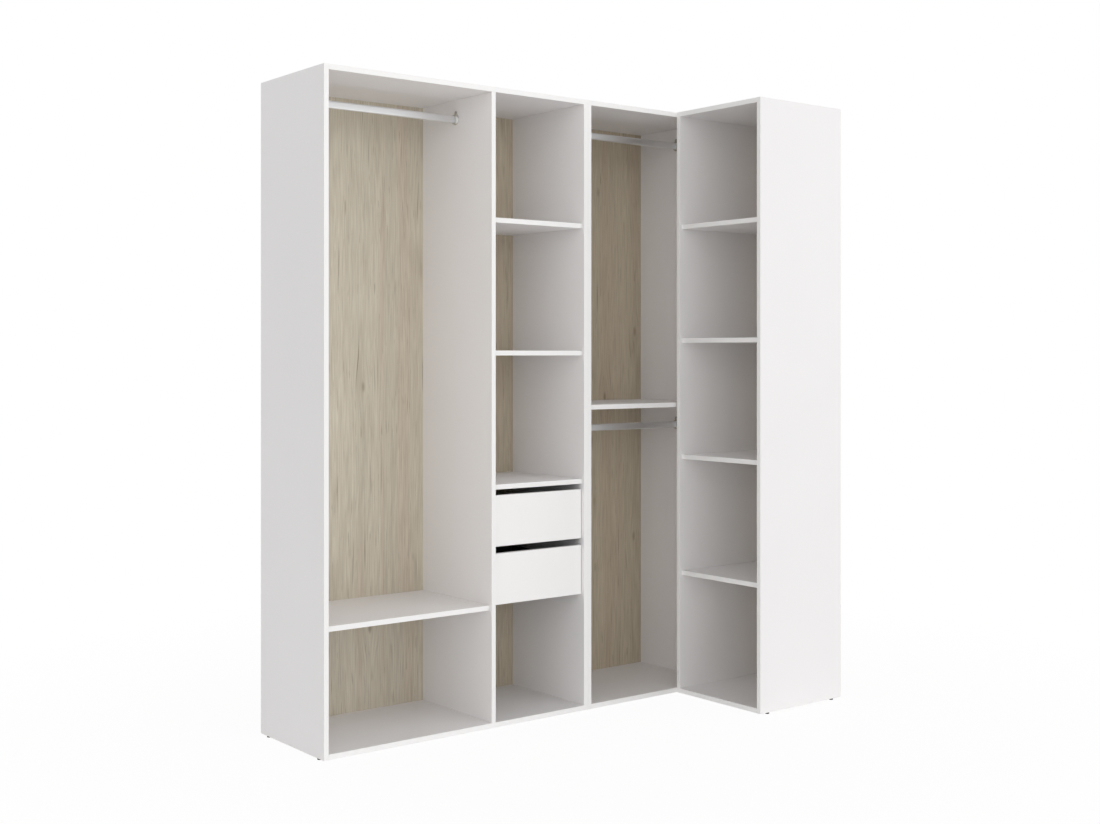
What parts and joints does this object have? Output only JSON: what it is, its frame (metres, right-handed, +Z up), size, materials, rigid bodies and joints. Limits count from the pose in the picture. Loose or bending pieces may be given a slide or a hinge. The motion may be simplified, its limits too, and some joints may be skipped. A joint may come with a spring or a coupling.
{
  "type": "corner wardrobe",
  "caption": "Open corner wardrobe with hanging rails, shelves and drawers, and a return module of shelves turned into the room corner.",
  "frame": {"origin": "on the floor, at the centre of the rectangle that the footprint fills", "axes": "+Z up; +Y towards the wall behind the straight modules, so they open towards -Y; +X towards the side wall behind the return module, which opens towards -X"},
  "size_m": [1.8, 0.8002, 2.035],
  "materials": {
    "white_melamine": "white melamine-faced chipboard with white edge banding",
    "oak_printed_sheet": "hardboard sheet with a pale oak print on its inner face",
    "anthracite_foil": "chipboard wrapped in anthracite foil",
    "satin_aluminium": "satin anodised",
    "zinc_casting": "satin nickel-plated zinc casting",
    "coated_steel": "white epoxy-coated steel",
    "black_polythene": "moulded black polythene"
  },
  "bodies": {
    "carcass": {"main_left_side": "white_melamine", "main_right_side": "white_melamine", "main_bottom_board": "white_melamine", "main_top_board": "white_melamine", "main_back_sheet": "oak_printed_sheet", "main_divider": "white_melamine", "wide_bay_shelf": "white_melamine", "narrow_bay_lower_shelf": "white_melamine", "narrow_bay_middle_shelf": "white_melamine", "narrow_bay_upper_shelf": "white_melamine", "wide_bay_rail": "satin_aluminium", "wide_bay_rail_bracket_left": "zinc_casting", "wide_bay_rail_bracket_right": "zinc_casting", "upper_drawer_carcass_runner_left": "coated_steel", "upper_drawer_carcass_runner_right": "coated_steel", "lower_drawer_carcass_runner_left": "coated_steel", "lower_drawer_carcass_runner_right": "coated_steel", "main_left_front_glide": "black_polythene", "main_left_rear_glide": "black_polythene", "main_right_front_glide": "black_polythene", "main_right_rear_glide": "black_polythene", "corner_left_side": "white_melamine", "corner_right_side": "white_melamine", "corner_bottom_board": "white_melamine", "corner_top_board": "white_melamine", "corner_back_sheet": "oak_printed_sheet", "corner_bay_shelf": "white_melamine", "corner_bay_upper_rail": "satin_aluminium", "corner_bay_upper_rail_bracket_left": "zinc_casting", "corner_bay_upper_rail_bracket_right": "zinc_casting", "corner_bay_lower_rail": "satin_aluminium", "corner_bay_lower_rail_bracket_left": "zinc_casting", "corner_bay_lower_rail_bracket_right": "zinc_casting", "corner_right_front_glide": "black_polythene", "corner_right_rear_glide": "black_polythene", "return_inner_side": "white_melamine", "return_outer_side": "white_melamine", "return_bottom_board": "white_melamine", "return_top_board": "white_melamine", "return_back_sheet": "oak_printed_sheet", "return_first_shelf": "white_melamine", "return_second_shelf": "white_melamine", "return_third_shelf": "white_melamine", "return_fourth_shelf": "white_melamine", "return_outer_front_glide": "black_polythene", "return_outer_rear_glide": "black_polythene"},
    "upper_drawer": {"upper_drawer_front": "white_melamine", "upper_drawer_box_left_side": "anthracite_foil", "upper_drawer_box_right_side": "anthracite_foil", "upper_drawer_box_back": "anthracite_foil", "upper_drawer_box_bottom": "anthracite_foil", "upper_drawer_box_runner_left": "coated_steel", "upper_drawer_box_runner_right": "coated_steel"},
    "lower_drawer": {"lower_drawer_front": "white_melamine", "lower_drawer_box_left_side": "anthracite_foil", "lower_drawer_box_right_side": "anthracite_foil", "lower_drawer_box_back": "anthracite_foil", "lower_drawer_box_bottom": "anthracite_foil", "lower_drawer_box_runner_left": "coated_steel", "lower_drawer_box_runner_right": "coated_steel"}
  },
  "joints": [
    {"name": "upper_drawer_slide", "type": "slide", "parent": "carcass", "child": "upper_drawer", "axis": [0, -1, 0], "range_m": [0, 0.26]},
    {"name": "lower_drawer_slide", "type": "slide", "parent": "carcass", "child": "lower_drawer", "axis": [0, -1, 0], "range_m": [0, 0.26]}
  ]
}
